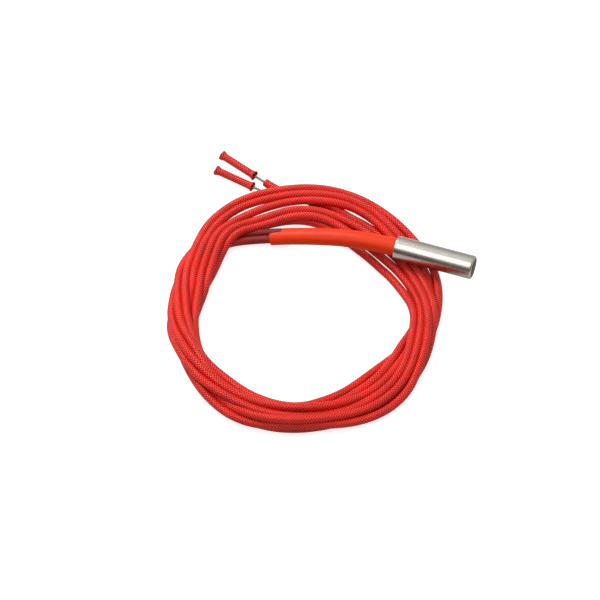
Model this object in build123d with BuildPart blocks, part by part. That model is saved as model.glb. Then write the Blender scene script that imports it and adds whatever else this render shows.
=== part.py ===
from build123d import *
from math import cos, radians, sin, tan
import os

# Cartridge heater, 6 mm class, with a coated sleeve and two glass-fibre leads wound into one loose coil.
# Millimetres, +Z up. The origin is on the sheath's axis at its mid-length, and +X points to the closed end.
# It lies on its own lead coil, with the floor at the coil's underside.

# Sheath and its welded end
sheath_diameter = 6.0
sheath_wall = 0.5
sheath_length = 20.2
rim_round = 0.45
disc_thickness = 1.05
disc_recess = 0.12
disc_dome = 0.45
disc_step = 0.25

# Heating element
wafer_thickness = 0.9
ceramic_clearance = 0.05
core_diameter = 3.6
core_length = 10.8
pin_diameter = 0.8
pin_clearance = 0.05
pin_2_depth = 4.0
pin_1_end_gap = 0.03
wire_diameter = 0.3
wire_lift = 0.02
wire_flats = 8
whole_turns = 8
leg_room = 0.1
fill_clearance = 0.07
bead_length = 1.4

# Crimps and potting in the mouth
crimp_diameter = 1.5
crimp_length = 2.2
crimp_gap = 0.2
crimp_overlap = 1.0
stub_diameter = 0.85
stub_clearance = 0.025
pull_out = 0.2
potting_clearance = 0.02

# Leads and sleeve
lead_diameter = 2.1
lead_gap = 0.06
sleeve_width = 4.82
sleeve_height = 4.3
sleeve_end_height = 3.7
sleeve_wall = 0.18
sleeve_in_mouth = 2.2
sleeve_straight = 0.9
sleeve_bend_radius = 78.8
sleeve_bend_angle = 23.6
sleeve_dip = 56.8
sleeve_stations = 12
step_length = 3.2
step_off_axis = 1.05
step_tilt = 50.0
tail_run_in_coil = 7.0
tail_heading = 205.0
tail_lift = 0.8

# Lead coil, measured from the photograph every 30 degrees about its centre:
# mean radius, half width and half height of the bundle of leads
sheath_to_coil = 0.6
coil_height_under_sheath = 4.3
coil_centre = (-26.8, -21.3)
bundle_flats = 8
flats_outset = 1.03
coil_sections = (
    (30.5, 3.6, 3.6), (29.5, 5.4, 2.4), (28.9, 7.1, 2.2), (31.5, 8.2, 2.2),
    (33.5, 6.5, 2.3), (31.3, 5.2, 2.7), (29.0, 4.8, 2.9), (30.6, 4.2, 3.2),
    (33.5, 3.8, 3.7), (35.6, 4.5, 3.1), (34.1, 4.5, 3.1), (31.7, 6.1, 2.35))

# Stripped ends
conductor_diameter = 0.7
slug_length = 10.8
slug_diameter = 1.95
slug_flare = 2.3
slug_flare_length = 0.9
slug_bore = 0.8
slug_mouth = 1.5
slug_mouth_depth = 0.7
conductor_in_slug = 7.5
floor_gap = 0.02
lead_1_cut = (-50.2, 15.2)
lead_1_route = ((-38.4, 12.6, 1.3), (-42.7, 12.7, 0.8), (-46.8, 13.9, 0))
slug_1_near_end = (-53.6, 16.5)
slug_2_near_end = (-52.8, 12.8)
slug_2_heading = 167.9
conductor_2_reach = 4.3

# Places worked out from the sizes above
sheath_radius = sheath_diameter / 2
bore_radius = sheath_radius - sheath_wall
mouth_x = -sheath_length / 2
closed_x = sheath_length / 2
disc_face_x = closed_x - disc_recess
disc_back_x = disc_face_x - disc_thickness
wafer_back_x = disc_back_x - wafer_thickness
leg_space = wire_diameter + 2 * leg_room
core_hot_x = wafer_back_x - leg_space
core_cold_x = core_hot_x - core_length
hot_leg_x = core_hot_x + leg_space / 2
cold_leg_x = core_cold_x - leg_space / 2
bead_hot_x = core_cold_x - leg_space
bead_cold_x = bead_hot_x - bead_length
winding_radius = core_diameter / 2 + wire_lift + wire_diameter / 2
crimp_hot_x = bead_cold_x - crimp_gap
crimp_cold_x = crimp_hot_x - crimp_length
seat_x = crimp_cold_x - pull_out
crimp_bore_radius = max(stub_diameter, pin_diameter) / 2 + stub_clearance
lead_radius = lead_diameter / 2
lead_offset = lead_radius + lead_gap / 2
floor_z = -sheath_radius - sheath_to_coil - coil_height_under_sheath
loose_z = floor_z + slug_flare / 2 + floor_gap

os.makedirs("parts", exist_ok=True)
across = Plane.YZ


def finish(piece, name):
    """Label a finished piece and write its own file."""
    piece.part.label = name
    export_step(piece.part, f"parts/{name}.step")


def on_floor(point):
    """A point of the loose ends, at the height of their axes above the floor."""
    return (point[0], point[1], loose_z)


def bend_radii(points):
    """One radius for each corner, so that an arc takes less than half of the shorter run beside it."""
    radii = []
    for before, corner, after in zip(points, points[1:], points[2:]):
        run_in = Vector(*corner) - Vector(*before)
        run_out = Vector(*after) - Vector(*corner)
        half_turn = radians(run_in.get_angle(run_out) / 2)
        radii.append(0.45 * min(run_in.length, run_out.length) / tan(half_turn))
    return radii


def beside(points, side):
    """The points moved level to one side, so that two leads lie next to each other all the way."""
    moved = []
    for i, point in enumerate(points):
        start = Vector(*points[max(i - 1, 0)])
        end = Vector(*points[min(i + 1, len(points) - 1)])
        level = Vector(end.X - start.X, end.Y - start.Y, 0).normalized()
        moved.append((point[0] - level.Y * side, point[1] + level.X * side, point[2]))
    return moved


def flat_sided(half_width, half_height):
    """Corners of a bundle's section with flats on all sides, as large as the ellipse that it stands for."""
    turns = [radians(360 * (k + 0.5) / bundle_flats) for k in range(bundle_flats)]
    return [(flats_outset * half_width * cos(turn), flats_outset * half_height * sin(turn)) for turn in turns]


def report_tube(name, path, radii, volume):
    """Print what a check of a cord's tube needs: its arcs, its length and how well its volume fits them."""
    ideal = path.length * 3.14159265 * lead_radius**2
    print(name, "arcs", [round(r, 1) for r in radii], "length", round(path.length, 1),
          "volume over section times length", round(volume / ideal, 3))


# The way of the sleeve and of the leads in it: level out of the mouth, one bend down, then along the floor
drop_y = -cos(radians(sleeve_dip))
drop_z = -sin(radians(sleeve_dip))
half_bend = sleeve_bend_angle / 2
corner_run = sleeve_bend_radius * tan(radians(half_bend / 2))
first_corner_x = mouth_x - sleeve_straight - corner_run
first_corner = (first_corner_x, 0, 0)
second_drop = 2 * corner_run * sin(radians(half_bend))
second_corner = (first_corner_x - 2 * corner_run * cos(radians(half_bend)),
                 drop_y * second_drop, drop_z * second_drop)
end_slope = (-cos(radians(sleeve_bend_angle)), drop_y * sin(radians(sleeve_bend_angle)),
             drop_z * sin(radians(sleeve_bend_angle)))
sleeve_end = tuple(c + corner_run * d for c, d in zip(second_corner, end_slope))
to_floor = (loose_z - second_corner[2]) / end_slope[2]
floor_corner = tuple(c + to_floor * d for c, d in zip(second_corner, end_slope))
tail_end = (floor_corner[0] + tail_run_in_coil * cos(radians(tail_heading)),
            floor_corner[1] + tail_run_in_coil * sin(radians(tail_heading)), loose_z + tail_lift)

# Sheath: a tube with its mouth at -X and the rim of the closed end rounded over
with BuildPart() as sheath:
    with BuildSketch(across.offset(mouth_x)):
        Circle(sheath_radius)
        Circle(bore_radius, mode=Mode.SUBTRACT)
    extrude(amount=sheath_length)
    closed_rim = sheath.faces().sort_by(Axis.X)[-1].edges().sort_by(SortBy.RADIUS)[-1]
    fillet(closed_rim, radius=rim_round)
finish(sheath, "sheath")

# End disc: welded in a little below the rim, with a shallow dome inside a flat edge
with BuildPart() as end_disc:
    with BuildSketch(Plane.XY):
        with BuildLine():
            dome_foot = (disc_face_x, bore_radius - disc_step)
            dome_top = (disc_face_x + disc_dome, 0)
            Polyline(dome_top, (disc_back_x, 0), (disc_back_x, bore_radius),
                     (disc_face_x, bore_radius), dome_foot)
            RadiusArc(dome_foot, dome_top, (dome_foot[1] ** 2 + disc_dome**2) / (2 * disc_dome))
        make_face()
    revolve(axis=Axis.X)
finish(end_disc, "end_disc")

# Ceramic wafer between the end disc and the winding
with BuildPart() as hot_end_insulator:
    with BuildSketch(across.offset(wafer_back_x)):
        Circle(bore_radius - ceramic_clearance)
    extrude(amount=wafer_thickness)
finish(hot_end_insulator, "hot_end_insulator")

# Magnesia core with two bores for the pins
with BuildPart() as ceramic_core:
    with BuildSketch(across.offset(core_cold_x)):
        Circle(core_diameter / 2)
        with Locations((-lead_offset, 0), (lead_offset, 0)):
            Circle(pin_diameter / 2 + pin_clearance, mode=Mode.SUBTRACT)
    extrude(amount=core_length)
finish(ceramic_core, "ceramic_core")

# Resistance wire: a helix on the core, with a straight leg from each end in to its own pin.
# Its round section has flats, because the winding is out of sight.
winding_length = hot_leg_x - cold_leg_x
leg_reach = winding_radius - lead_offset - pin_diameter / 2
with BuildPart() as resistance_coil:
    with BuildLine():
        winding = Helix(
            pitch=winding_length / (whole_turns + 0.5), height=winding_length, radius=winding_radius,
            center=(cold_leg_x, 0, 0), direction=(1, 0, 0), mode=Mode.PRIVATE).rotate(Axis.X, -90)
        add(winding)
    with BuildSketch(Plane(origin=winding @ 0, z_dir=winding % 0)):
        RegularPolygon(wire_diameter / 2, wire_flats)
    sweep(path=winding, is_frenet=True)
    for leg_x, end in ((cold_leg_x, winding @ 0), (hot_leg_x, winding @ 1)):
        inward = Vector(0, -end.Y, -end.Z).normalized()
        with BuildSketch(Plane(origin=(leg_x, end.Y, end.Z), z_dir=inward)):
            Circle(wire_diameter / 2)
        extrude(amount=leg_reach)
finish(resistance_coil, "resistance_coil")
print("winding starts at", winding @ 0, "and ends at", winding @ 1)

# Packed magnesia round the winding, out to the sheath
with BuildPart() as magnesia_fill:
    with BuildSketch(across.offset(bead_hot_x)):
        Circle(bore_radius)
        Circle(winding_radius + wire_diameter / 2 + fill_clearance, mode=Mode.SUBTRACT)
    extrude(amount=wafer_back_x - bead_hot_x)
finish(magnesia_fill, "magnesia_fill")

# Two-hole bead that closes the cold end
with BuildPart() as cold_end_insulator:
    with BuildSketch(across.offset(bead_cold_x)):
        Circle(bore_radius - ceramic_clearance)
        with Locations((-lead_offset, 0), (lead_offset, 0)):
            Circle(pin_diameter / 2 + pin_clearance, mode=Mode.SUBTRACT)
    extrude(amount=bead_length)
finish(cold_end_insulator, "cold_end_insulator")

# Pins: the long one reaches the leg at the hot end, the short one the leg at the cold end
pin_cold_x = crimp_hot_x - crimp_overlap
with BuildPart() as terminal_pin_1:
    with BuildSketch(across.offset(pin_cold_x)):
        with Locations((-lead_offset, 0)):
            Circle(pin_diameter / 2)
    extrude(amount=wafer_back_x - pin_1_end_gap - pin_cold_x)
finish(terminal_pin_1, "terminal_pin_1")

with BuildPart() as terminal_pin_2:
    with BuildSketch(across.offset(pin_cold_x)):
        with Locations((lead_offset, 0)):
            Circle(pin_diameter / 2)
    extrude(amount=core_cold_x + pin_2_depth - pin_cold_x)
finish(terminal_pin_2, "terminal_pin_2")

# Crimp barrels over the ends of pin and conductor
with BuildPart() as crimp_barrel_1:
    with BuildSketch(across.offset(crimp_cold_x)):
        with Locations((-lead_offset, 0)):
            Circle(crimp_diameter / 2)
            Circle(crimp_bore_radius, mode=Mode.SUBTRACT)
    extrude(amount=crimp_length)
finish(crimp_barrel_1, "crimp_barrel_1")

with BuildPart() as crimp_barrel_2:
    with BuildSketch(across.offset(crimp_cold_x)):
        with Locations((lead_offset, 0)):
            Circle(crimp_diameter / 2)
            Circle(crimp_bore_radius, mode=Mode.SUBTRACT)
    extrude(amount=crimp_length)
finish(crimp_barrel_2, "crimp_barrel_2")

# Stripped conductors between each crimp and the insulation of its lead
with BuildPart() as conductor_stub_1:
    with BuildSketch(across.offset(seat_x)):
        with Locations((-lead_offset, 0)):
            Circle(stub_diameter / 2)
    extrude(amount=crimp_cold_x + crimp_overlap - seat_x)
finish(conductor_stub_1, "conductor_stub_1")

with BuildPart() as conductor_stub_2:
    with BuildSketch(across.offset(seat_x)):
        with Locations((lead_offset, 0)):
            Circle(stub_diameter / 2)
    extrude(amount=crimp_cold_x + crimp_overlap - seat_x)
finish(conductor_stub_2, "conductor_stub_2")

# Potting cement from the bead to the leads, round crimps and conductors
with BuildPart() as potting:
    with BuildSketch(across.offset(seat_x)):
        Circle(bore_radius)
    extrude(amount=bead_cold_x - seat_x)
    with BuildSketch(across.offset(crimp_cold_x - potting_clearance)):
        with Locations((-lead_offset, 0), (lead_offset, 0)):
            Circle(crimp_diameter / 2 + potting_clearance)
    extrude(amount=bead_cold_x - crimp_cold_x + potting_clearance, mode=Mode.SUBTRACT)
    with BuildSketch(across.offset(seat_x)):
        with Locations((-lead_offset, 0), (lead_offset, 0)):
            Circle(stub_diameter / 2 + potting_clearance)
    extrude(amount=crimp_cold_x - seat_x, mode=Mode.SUBTRACT)
finish(potting, "potting")

# Sleeve: flattens on its way, and the upper rear side of its free end is cut back
sleeve_start = (mouth_x + sleeve_in_mouth, 0, 0)
sleeve_corners = [sleeve_start, first_corner, second_corner, sleeve_end]
whole_way = [(seat_x, 0, 0), first_corner, second_corner, floor_corner, tail_end]
with BuildPart() as glass_sleeve:
    with BuildLine():
        sleeve_way = FilletPolyline(*sleeve_corners, radius=bend_radii(whole_way)[:2])
    for shrink, kind in ((0, Mode.ADD), (sleeve_wall, Mode.SUBTRACT)):
        for i in range(sleeve_stations):
            share = i / (sleeve_stations - 1)
            along = sleeve_way % share
            level = Vector(along.Y, -along.X, 0).normalized()
            height = sleeve_height + (sleeve_end_height - sleeve_height) * share
            with BuildSketch(Plane(origin=sleeve_way @ share, x_dir=level, z_dir=along)):
                Ellipse(sleeve_width / 2 - shrink, height / 2 - shrink)
        loft(mode=kind)
    end_along = sleeve_way % 1
    rear = Vector(end_along.Y, -end_along.X, 0).normalized()
    up = rear.cross(end_along)
    outward = up * cos(radians(step_tilt)) + rear * sin(radians(step_tilt))
    cut_start = sleeve_way @ 1 + outward * (step_off_axis + sleeve_width / 2) + end_along
    with BuildSketch(Plane(origin=cut_start, x_dir=outward, z_dir=end_along * -1)):
        Rectangle(sleeve_width, 2 * sleeve_width)
    extrude(amount=step_length + 1, mode=Mode.SUBTRACT)
finish(glass_sleeve, "glass_sleeve")

# Lead coil: a closed bundle, wide and flat at the back and narrow and high at the front.
# Each half is lofted through seven sections, and the halves share their end sections.
half_count = len(coil_sections) // 2
with BuildPart() as lead_coil:
    for first in (0, half_count):
        for i in range(first, first + half_count + 1):
            mean_radius, half_width, half_height = coil_sections[i % len(coil_sections)]
            turn = radians(360 * i / len(coil_sections))
            outward = Vector(cos(turn), sin(turn), 0)
            rest_height = flats_outset * half_height * cos(radians(180 / bundle_flats))
            middle = Vector(*coil_centre, floor_z + rest_height) + outward * mean_radius
            with BuildSketch(Plane(origin=middle, x_dir=outward, z_dir=(-sin(turn), cos(turn), 0))):
                Polygon(*flat_sided(half_width, half_height), align=None)
        loft()
finish(lead_coil, "lead_coil")

# Leads through the sleeve and down to the floor, then in under the coil's inner turns
tail_1_points = beside(whole_way, lead_offset)
with BuildPart() as lead_1_tail:
    with BuildLine():
        tail_1_way = FilletPolyline(*tail_1_points, radius=bend_radii(tail_1_points))
    with BuildSketch(Plane(origin=tail_1_way @ 0, z_dir=tail_1_way % 0)):
        Circle(lead_radius)
    sweep(path=tail_1_way)
    report_tube("lead_1_tail", tail_1_way, bend_radii(tail_1_points), lead_1_tail.part.volume)
    add(lead_coil.part, mode=Mode.SUBTRACT)
finish(lead_1_tail, "lead_1_tail")

tail_2_points = beside(whole_way, -lead_offset)
with BuildPart() as lead_2_tail:
    with BuildLine():
        tail_2_way = FilletPolyline(*tail_2_points, radius=bend_radii(tail_2_points))
    with BuildSketch(Plane(origin=tail_2_way @ 0, z_dir=tail_2_way % 0)):
        Circle(lead_radius)
    sweep(path=tail_2_way)
    report_tube("lead_2_tail", tail_2_way, bend_radii(tail_2_points), lead_2_tail.part.volume)
    add(lead_coil.part, mode=Mode.SUBTRACT)
finish(lead_2_tail, "lead_2_tail")

# End of lead 1, from the coil's outer turns to its cut
end_1_points = [(x, y, loose_z + lift) for x, y, lift in lead_1_route] + [on_floor(lead_1_cut)]
with BuildPart() as lead_1_end:
    with BuildLine():
        end_1_way = FilletPolyline(*end_1_points, radius=bend_radii(end_1_points))
    with BuildSketch(Plane(origin=end_1_way @ 0, z_dir=end_1_way % 0)):
        Circle(lead_radius)
    sweep(path=end_1_way)
    report_tube("lead_1_end", end_1_way, bend_radii(end_1_points), lead_1_end.part.volume)
    add(lead_coil.part, mode=Mode.SUBTRACT)
finish(lead_1_end, "lead_1_end")

# Bare conductor of lead 1, from the cut to well inside its slug
slug_1_near = Vector(*on_floor(slug_1_near_end))
out_1 = (slug_1_near - Vector(*end_1_points[-1])).normalized()
with BuildPart() as bare_conductor_1:
    with BuildSketch(Plane(origin=end_1_points[-1], z_dir=out_1)):
        Circle(conductor_diameter / 2)
    extrude(amount=(slug_1_near - Vector(*end_1_points[-1])).length + conductor_in_slug)
finish(bare_conductor_1, "bare_conductor_1")

# Bare conductor of lead 2, which starts where it comes out between the coil's outer turns
slug_2_near = Vector(*on_floor(slug_2_near_end))
out_2 = Vector(cos(radians(slug_2_heading)), sin(radians(slug_2_heading)), 0)
with BuildPart() as bare_conductor_2:
    with BuildSketch(Plane(origin=slug_2_near - out_2 * conductor_2_reach, z_dir=out_2)):
        Circle(conductor_diameter / 2)
    extrude(amount=conductor_2_reach + conductor_in_slug)
finish(bare_conductor_2, "bare_conductor_2")

# Insulation slugs: pulled nearly off, flared at both ends, with the bore opened out where they were cut
slug_profile = [(0, slug_mouth / 2), (slug_mouth_depth, slug_bore / 2),
                (slug_length - slug_mouth_depth, slug_bore / 2), (slug_length, slug_mouth / 2),
                (slug_length, slug_flare / 2), (slug_length - slug_flare_length, slug_diameter / 2),
                (slug_flare_length, slug_diameter / 2), (0, slug_flare / 2)]
with BuildPart() as insulation_slug_1:
    with BuildSketch(Plane(origin=slug_1_near, x_dir=out_1, z_dir=(0, 0, 1))):
        Polygon(*slug_profile, align=None)
    revolve(axis=Axis(slug_1_near, out_1))
finish(insulation_slug_1, "insulation_slug_1")

with BuildPart() as insulation_slug_2:
    with BuildSketch(Plane(origin=slug_2_near, x_dir=out_2, z_dir=(0, 0, 1))):
        Polygon(*slug_profile, align=None)
    revolve(axis=Axis(slug_2_near, out_2))
finish(insulation_slug_2, "insulation_slug_2")
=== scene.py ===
# %% [markdown]
# # A cartridge heater with its leads wound into a loose coil
# The heater is a steel sheath 6 mm across and 20 mm long. An orange-red coated sleeve and two red braided leads come
# out of its mouth, and about a metre of both leads is wound by hand into one loose ring, on which the heater lies. The
# imported CAD model gives the places of everything, in metres, and this script gives it its looks. The model is loaded
# first. The finished model has to stay in it.

import bmesh
import bpy
import numpy as np
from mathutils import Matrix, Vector


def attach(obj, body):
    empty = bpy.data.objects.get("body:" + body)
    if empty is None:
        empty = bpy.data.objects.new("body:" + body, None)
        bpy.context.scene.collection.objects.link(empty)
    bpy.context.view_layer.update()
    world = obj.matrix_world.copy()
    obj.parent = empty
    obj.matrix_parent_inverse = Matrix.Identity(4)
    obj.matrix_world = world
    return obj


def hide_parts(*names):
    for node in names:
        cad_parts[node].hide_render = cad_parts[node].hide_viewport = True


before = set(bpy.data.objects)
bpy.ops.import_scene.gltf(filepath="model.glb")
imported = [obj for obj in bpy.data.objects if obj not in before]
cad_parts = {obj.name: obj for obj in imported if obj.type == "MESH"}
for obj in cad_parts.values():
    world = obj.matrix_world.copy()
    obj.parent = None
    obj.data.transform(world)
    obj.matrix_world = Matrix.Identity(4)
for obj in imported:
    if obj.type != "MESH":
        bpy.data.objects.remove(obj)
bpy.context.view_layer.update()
MM = 0.001

# %% [markdown]
# ## Camera
# The photograph looks down on the heater at 50 degrees, from a little to the right, with almost no perspective. A long
# lens one metre away does the same. A camera looks along its own -Z, so its turn comes from the direction of view.

# %% Camera
view_turn, view_height, view_distance = np.radians(19.31), np.radians(50.0), 1.0
view_aim = np.array([-29.28, -17.82, -7.9]) * MM        # on the floor, near the middle of the coil
look = np.array([-np.sin(view_turn) * np.cos(view_height), np.cos(view_turn) * np.cos(view_height),
                 -np.sin(view_height)])
SENSOR_WIDTH, LENS_LENGTH = 36.0, 241.02                # in millimetres, as Blender's cameras take them

camera = bpy.data.objects.new("camera", bpy.data.cameras.new("camera"))
camera.data.sensor_width, camera.data.lens = SENSOR_WIDTH, LENS_LENGTH
camera.data.clip_start, camera.data.clip_end = 0.05, 20.0
camera.location = view_aim - look * view_distance
camera.rotation_euler = Vector(look).to_track_quat("-Z", "Y").to_euler()
bpy.context.scene.collection.objects.link(camera)
bpy.context.scene.camera = camera
print("camera at", [round(c, 3) for c in camera.location])

# %% [markdown]
# ## Surfaces from grids
# Nearly every piece here is a skin round a line: a lead, the sleeve, the sheath. Such a skin is a grid of points, with
# columns that run round and close on themselves, and rows that follow the line. Blender's own tubes would do, but a
# grid of our own also carries a UV map with real lengths along it, which the braid needs. One function numbers the
# faces, and one puts one or more such skins into a single mesh. Rows that shrink to a point are merged there, so that
# poles close.

# %% A grid of faces, and a piece made of such grids
MERGE_WITHIN = 1e-7        # metres


def skin(points, along, closed=False):
    """Faces and UVs of a grid (rows, columns, 3). A face joins each point to the next one round and the next row; with
    closed, the last row joins the first. U runs from 0 to 1 round the columns, and V is along's value at each row."""
    rows, columns = points.shape[:2]
    row = np.arange(rows if closed else rows - 1)[:, None]
    column = np.arange(columns)[None, :]
    corners = [(row, column), (row, column + 1), (row + 1, column + 1), (row + 1, column)]
    faces = np.stack([(r % rows) * columns + c % columns for r, c in corners], axis=-1).reshape(-1, 4)
    uv = np.stack([np.stack(np.broadcast_arrays(c / columns, along[r]), axis=-1) for r, c in corners], axis=-2)
    return points.reshape(-1, 3), faces, uv.reshape(-1, 2)


def make_piece(name, skins, material, sharp_above=40.0):
    """One mesh from one or more skins, on body root. Points that coincide are merged, faces are turned outwards, and
    edges that fold by more than sharp_above degrees stay crisp."""
    starts = np.cumsum([0] + [len(s[0]) for s in skins[:-1]])
    faces = np.concatenate([s[1] + start for s, start in zip(skins, starts)])
    mesh = bpy.data.meshes.new(name)
    mesh.from_pydata(np.concatenate([s[0] for s in skins]), [], faces)
    mesh.uv_layers.new(name="UVMap").data.foreach_set("uv", np.concatenate([s[2] for s in skins]).ravel())
    work = bmesh.new()
    work.from_mesh(mesh)
    bmesh.ops.remove_doubles(work, verts=work.verts, dist=MERGE_WITHIN)
    bmesh.ops.recalc_face_normals(work, faces=work.faces)
    work.to_mesh(mesh)
    work.free()
    mesh.shade_smooth()
    mesh.set_sharp_from_angle(angle=np.radians(sharp_above))
    mesh.materials.append(material)
    piece = bpy.data.objects.new(name, mesh)
    bpy.context.scene.collection.objects.link(piece)
    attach(piece, "root")
    print(name, "has", len(mesh.vertices), "points and", len(mesh.polygons), "faces")
    return piece


# %% Rings round a line
UPRIGHT = np.array([0.0, 0.0, 1.0])


def ring_axes(line):
    """For each point of a line, the level direction to its left, and the direction above that and the line."""
    ahead = np.gradient(line, axis=0)
    ahead /= np.linalg.norm(ahead, axis=1, keepdims=True)
    left = np.cross(UPRIGHT, ahead)
    left /= np.linalg.norm(left, axis=1, keepdims=True)
    return left, np.cross(ahead, left)


def lengths_along(line):
    """Distance from the line's start to each of its points, along the line."""
    return np.concatenate([[0.0], np.cumsum(np.linalg.norm(np.diff(line, axis=0), axis=1))])


def round_line(line, half_width, half_height, columns):
    """Rings round a line: point + half_width cos(turn) times the level direction + half_height sin(turn) times the
    upright one. The half axes are one number, or one for each row."""
    left, up = ring_axes(line)
    turn = 2 * np.pi * np.arange(columns) / columns
    across, upright = (np.atleast_1d(half_axis)[:, None] for half_axis in (half_width, half_height))
    return (line[:, None] + (across * np.cos(turn))[..., None] * left[:, None]
            + (upright * np.sin(turn))[..., None] * up[:, None])


def close_ends(line, rings):
    """The rings with one more at each end, shrunk to the end of the line, and the row of the line each one is at."""
    rows = np.concatenate([[0], np.arange(len(line)), [len(line) - 1]])
    size = np.concatenate([[0.0], np.ones(len(line)), [0.0]])
    return line[rows][:, None] + (rings[rows] - line[rows][:, None]) * size[:, None, None], rows


# %% [markdown]
# ## Materials from a few nodes
# Every finish is a Principled shader with a pattern worked out in nodes. One function adds any node, with its settings
# and inputs, and another turns a colour as it is written on a screen into the linear values that shaders take.

# %% Helpers for materials
def linear(hex_colour):
    """An sRGB colour such as #E8352E as linear red, green and blue with full alpha: each channel is divided by 12.92
    near black, and elsewhere raised to the power 2.4 after the sRGB offset."""
    srgb = np.array([int(hex_colour[i:i + 2], 16) for i in (1, 3, 5)]) / 255
    return (*np.where(srgb <= 0.04045, srgb / 12.92, ((srgb + 0.055) / 1.055) ** 2.4), 1.0)


def add_node(tree, kind, inputs=None, **settings):
    """Adds a shader node, applies its settings, and fills each named input with a value or with a link to a socket."""
    node = tree.nodes.new("ShaderNode" + kind)
    for name, value in settings.items():
        setattr(node, name, value)
    for name, value in (inputs or {}).items():
        if isinstance(value, bpy.types.NodeSocket):
            tree.links.new(value, node.inputs[name])
        else:
            node.inputs[name].default_value = value
    return node


def new_material(name):
    """A material with an empty node tree."""
    material = bpy.data.materials.new(name)
    material.use_nodes = True
    material.node_tree.nodes.clear()
    print("material:", name)
    return material, material.node_tree


# %% [markdown]
# ## Braided glass-fibre insulation
# Each lead is a stranded wire in a tube braided from red glass yarn and set with varnish. Two sets of yarns wind round
# it in opposite directions and pass over and under each other, which gives the eye fine slanting ribs, bright on top
# and deep red between; the deep red is painted shade in the grooves between the yarns. The yarns could be modelled,
# but two metres of them would be millions of faces. So the pattern is in the material: it reads the UV map, where U
# goes once round the lead and V is metres along it. Adding and subtracting the two gives the two sets of yarns. Real
# yarns lie closer together than the render can show, so they are drawn 0.7 mm apart.

# %% Braid material
RIB_SPACING, YARNS_ROUND = 0.70 * MM, 7
RUBBED_PATCH, FLUFF_GRAIN = MM / 0.16, MM / 1.8        # 6.25 mm and 0.56 mm
BRAID_RELIEF = 0.13 * MM
# Painted shade near the sleeve fades in over 3 mm either side of where it stops.
PAINTED_SHADE_FADES_OVER = 3 * MM


def braided_yarn(name, lit, deep, painted_shade_until):
    """A braid of two sets of yarns: yarn number = U times YARNS_ROUND plus or minus V over RIB_SPACING. A yarn's height
    is the sine across it, and where the product of both sines is positive the first set lies on top. The colour runs
    from deep between the yarns, which is painted shade in the grooves, to lit on top. Up to the V given as the last
    argument, the braid is darkened to 0.36 of its colour, with a 6 mm fade about that V: painted shade of the sleeve
    and the coil."""
    material, tree = new_material(name)
    uv = add_node(tree, "UVMap", uv_map="UVMap").outputs["UV"]
    split = add_node(tree, "SeparateXYZ", {0: uv})
    round_it = add_node(tree, "Math", {0: split.outputs["X"], 1: YARNS_ROUND * np.pi}, operation="MULTIPLY").outputs[0]
    along_it = add_node(tree, "Math", {0: split.outputs["Y"], 1: np.pi / RIB_SPACING}, operation="MULTIPLY").outputs[0]
    sines = []
    for direction in ("ADD", "SUBTRACT"):
        yarn = add_node(tree, "Math", {0: round_it, 1: along_it}, operation=direction).outputs[0]
        sines.append(add_node(tree, "Math", {0: yarn}, operation="SINE").outputs[0])
    heights = [add_node(tree, "Math", {0: s}, operation="ABSOLUTE").outputs[0] for s in sines]
    product = add_node(tree, "Math", {0: sines[0], 1: sines[1]}, operation="MULTIPLY").outputs[0]
    first_on_top = add_node(tree, "Math", {0: product, 1: 3.0, 2: 0.5}, operation="MULTIPLY_ADD",
                            use_clamp=True).outputs[0]
    height = add_node(tree, "Mix", {"Factor": first_on_top, "A": heights[1], "B": heights[0]}).outputs["Result"]
    # Broad patches are a little paler or deeper, as where hands have rubbed the varnish, and fine fluff stands up.
    place = add_node(tree, "TexCoord").outputs["Object"]
    patches = add_node(tree, "TexNoise", {"Vector": place, "Scale": 1 / RUBBED_PATCH, "Detail": 2.0}).outputs["Fac"]
    fluff = add_node(tree, "TexNoise", {"Vector": place, "Scale": 1 / FLUFF_GRAIN, "Detail": 2.0}).outputs["Fac"]
    depth = add_node(tree, "MapRange", {"Value": height, "From Min": 0.15, "From Max": 0.95}).outputs["Result"]
    # Painted shade: the colour runs from deep in the grooves between the yarns to lit on their tops.
    colour = add_node(tree, "Mix", {"Factor": depth, "A": linear(deep), "B": linear(lit)}, data_type="RGBA")
    tint = add_node(tree, "MapRange", {"Value": patches, "From Min": 0.3, "From Max": 0.7,
                                       "To Min": 0.88, "To Max": 1.1})
    # Painted shade: near the start of the lead the colour is multiplied down to 0.36, for the shade of the sleeve and
    # the coil.
    painted_shade_near_sleeve = add_node(tree, "MapRange", {"Value": split.outputs["Y"], "From Min": painted_shade_until - PAINTED_SHADE_FADES_OVER,
                                        "From Max": painted_shade_until + PAINTED_SHADE_FADES_OVER,
                                        "To Min": 0.36, "To Max": 1.0}).outputs[0]
    rubbing_and_painted_shade = add_node(tree, "Math", {0: tint.outputs[0], 1: painted_shade_near_sleeve}, operation="MULTIPLY").outputs[0]
    shaded = add_node(tree, "VectorMath", {0: colour.outputs[2], 1: rubbing_and_painted_shade}, operation="MULTIPLY").outputs[0]
    surface = add_node(tree, "Math", {0: fluff, 1: 0.35, 2: height}, operation="MULTIPLY_ADD").outputs[0]
    bump = add_node(tree, "Bump", {"Height": surface, "Distance": BRAID_RELIEF, "Strength": 1.0})
    # The varnish shines on top of the yarns and hardly between them.
    varnish = add_node(tree, "Math", {0: depth, 1: 0.70, 2: 0.01}, operation="MULTIPLY_ADD").outputs[0]
    shader = add_node(tree, "BsdfPrincipled", {
        "Base Color": shaded, "Roughness": 0.42, "IOR": 1.5, "Specular IOR Level": varnish,
        "Normal": bump.outputs[0]})
    add_node(tree, "OutputMaterial", {"Surface": shader.outputs[0]})
    return material


# The leads carry painted shade of the sleeve and the coil for their first 43 mm, to just past the sleeve's end; the
# slugs have none.
lead_braid = braided_yarn("red_braided_glass_yarn", "#FF2A14", "#900301", painted_shade_until=43 * MM)
slug_braid = braided_yarn("red_braided_glass_yarn_cut_off", "#F8301E", "#8C0A08", painted_shade_until=-10 * MM)
print("braid:", YARNS_ROUND, "yarns each way round, a rib every", round(RIB_SPACING / MM, 2), "mm")
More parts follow.
